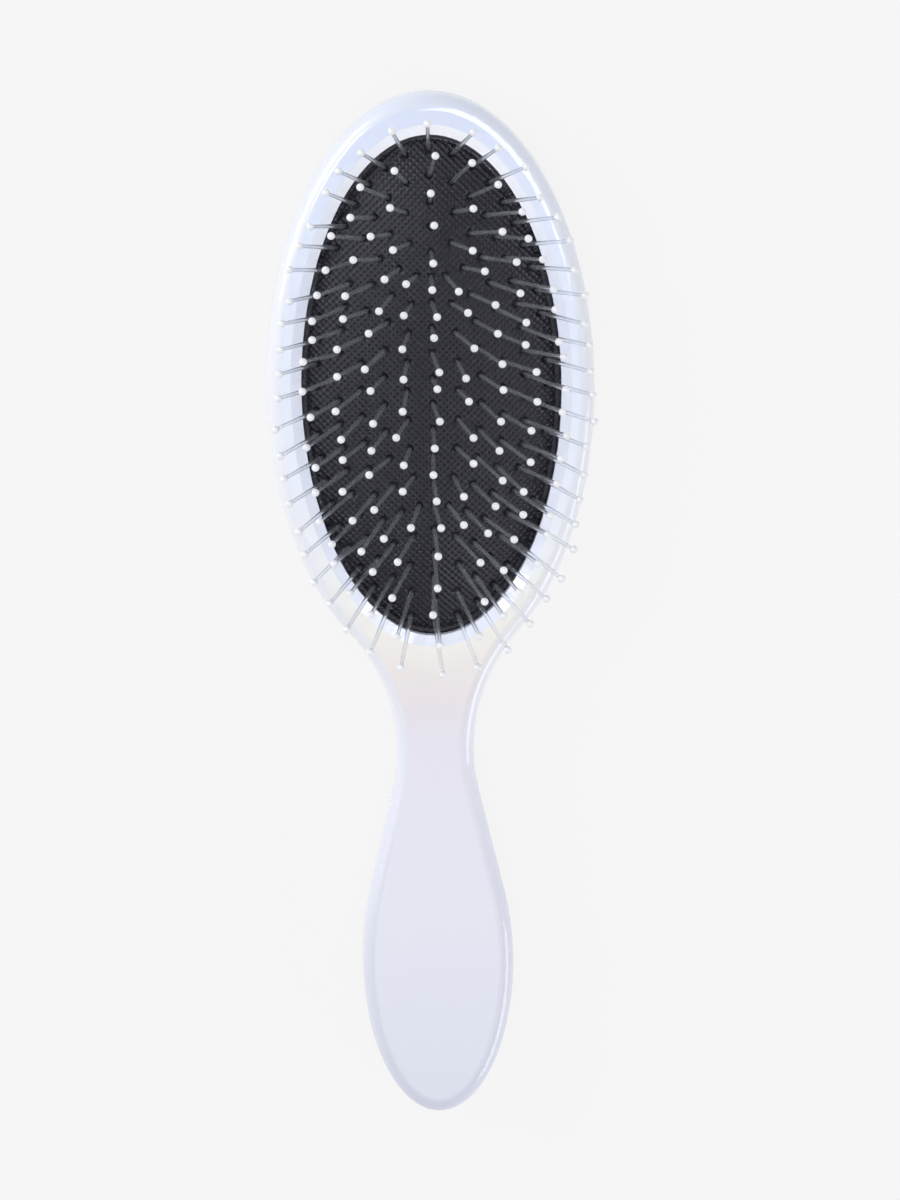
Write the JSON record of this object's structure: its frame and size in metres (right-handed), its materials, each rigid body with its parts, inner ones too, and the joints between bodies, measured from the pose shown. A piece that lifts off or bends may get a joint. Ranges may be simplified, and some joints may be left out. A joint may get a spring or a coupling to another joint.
{
  "type": "detangling brush",
  "caption": "Paddle hair brush with an oval head, waisted flat handle, domed rubber cushion and flexible ball-tipped bristles for detangling hair.",
  "frame": {"origin": "middle of the oval head, on the flat back that the brush lies on", "axes": "+Z out of the cushion, the way the bristles point; +Y from the handle towards the top of the head; +X across"},
  "size_m": [0.07, 0.2225, 0.0377],
  "materials": {
    "pearl_plastic": "glossy pearl white with a faint blue and lavender sheen",
    "black_rubber": "black, fine diamond knurl",
    "clear_nylon": "clear, slightly smoky",
    "white_bead": "glossy white"
  },
  "bodies": {
    "body": {"back_shell": "pearl_plastic", "front_shell": "pearl_plastic", "cushion_pad": "black_rubber"},
    "centre_row_bristles": {"bristles_centre_row": "clear_nylon"},
    "centre_row_tips": {"ball_tips_centre_row": "white_bead"},
    "outer_ring_bristles": {"bristles_outer_ring": "clear_nylon"},
    "outer_ring_tips": {"ball_tips_outer_ring": "white_bead"},
    "second_ring_bristles": {"bristles_second_ring": "clear_nylon"},
    "second_ring_tips": {"ball_tips_second_ring": "white_bead"},
    "third_ring_bristles": {"bristles_third_ring": "clear_nylon"},
    "third_ring_tips": {"ball_tips_third_ring": "white_bead"},
    "fourth_ring_bristles": {"bristles_fourth_ring": "clear_nylon"},
    "fourth_ring_tips": {"ball_tips_fourth_ring": "white_bead"},
    "inner_ring_bristles": {"bristles_inner_ring": "clear_nylon"},
    "inner_ring_tips": {"ball_tips_inner_ring": "white_bead"}
  },
  "joints": [
    {"name": "cushion_press", "type": "slide", "parent": "body", "child": "centre_row_bristles", "axis": [0, 0, 1], "range_m": [-0.0035, 0], "stiffness_N_per_m": 300, "deforming": ["cushion_pad"]},
    {"name": "bristle_sweep", "type": "slide", "parent": "centre_row_bristles", "child": "centre_row_tips", "axis": [1, 0, 0], "range_m": [-0.006, 0.006], "stiffness_N_per_m": 80, "deforming": ["bristles_centre_row"]},
    {"name": "cushion_press_outer_ring", "type": "slide", "parent": "body", "child": "outer_ring_bristles", "axis": [0, 0, 1], "range_m": [-0.000507, 0]},
    {"name": "bristle_sweep_outer_ring", "type": "slide", "parent": "outer_ring_bristles", "child": "outer_ring_tips", "axis": [1, 0, 0], "range_m": [-0.006, 0.006], "deforming": ["bristles_outer_ring"]},
    {"name": "cushion_press_second_ring", "type": "slide", "parent": "body", "child": "second_ring_bristles", "axis": [0, 0, 1], "range_m": [-0.00156, 0]},
    {"name": "bristle_sweep_second_ring", "type": "slide", "parent": "second_ring_bristles", "child": "second_ring_tips", "axis": [1, 0, 0], "range_m": [-0.006, 0.006], "deforming": ["bristles_second_ring"]},
    {"name": "cushion_press_third_ring", "type": "slide", "parent": "body", "child": "third_ring_bristles", "axis": [0, 0, 1], "range_m": [-0.00239, 0]},
    {"name": "bristle_sweep_third_ring", "type": "slide", "parent": "third_ring_bristles", "child": "third_ring_tips", "axis": [1, 0, 0], "range_m": [-0.006, 0.006], "deforming": ["bristles_third_ring"]},
    {"name": "cushion_press_fourth_ring", "type": "slide", "parent": "body", "child": "fourth_ring_bristles", "axis": [0, 0, 1], "range_m": [-0.00299, 0]},
    {"name": "bristle_sweep_fourth_ring", "type": "slide", "parent": "fourth_ring_bristles", "child": "fourth_ring_tips", "axis": [1, 0, 0], "range_m": [-0.006, 0.006], "deforming": ["bristles_fourth_ring"]},
    {"name": "cushion_press_inner_ring", "type": "slide", "parent": "body", "child": "inner_ring_bristles", "axis": [0, 0, 1], "range_m": [-0.00336, 0]},
    {"name": "bristle_sweep_inner_ring", "type": "slide", "parent": "inner_ring_bristles", "child": "inner_ring_tips", "axis": [1, 0, 0], "range_m": [-0.006, 0.006], "deforming": ["bristles_inner_ring"]}
  ],
  "couplings": [
    {"joint": "cushion_press_outer_ring", "follows": "cushion_press", "ratio": 0.1447},
    {"joint": "bristle_sweep_outer_ring", "follows": "bristle_sweep", "ratio": 1},
    {"joint": "cushion_press_second_ring", "follows": "cushion_press", "ratio": 0.4459},
    {"joint": "bristle_sweep_second_ring", "follows": "bristle_sweep", "ratio": 1},
    {"joint": "cushion_press_third_ring", "follows": "cushion_press", "ratio": 0.682},
    {"joint": "bristle_sweep_third_ring", "follows": "bristle_sweep", "ratio": 1},
    {"joint": "cushion_press_fourth_ring", "follows": "cushion_press", "ratio": 0.853},
    {"joint": "bristle_sweep_fourth_ring", "follows": "bristle_sweep", "ratio": 1},
    {"joint": "cushion_press_inner_ring", "follows": "cushion_press", "ratio": 0.9588},
    {"joint": "bristle_sweep_inner_ring", "follows": "bristle_sweep", "ratio": 1}
  ]
}
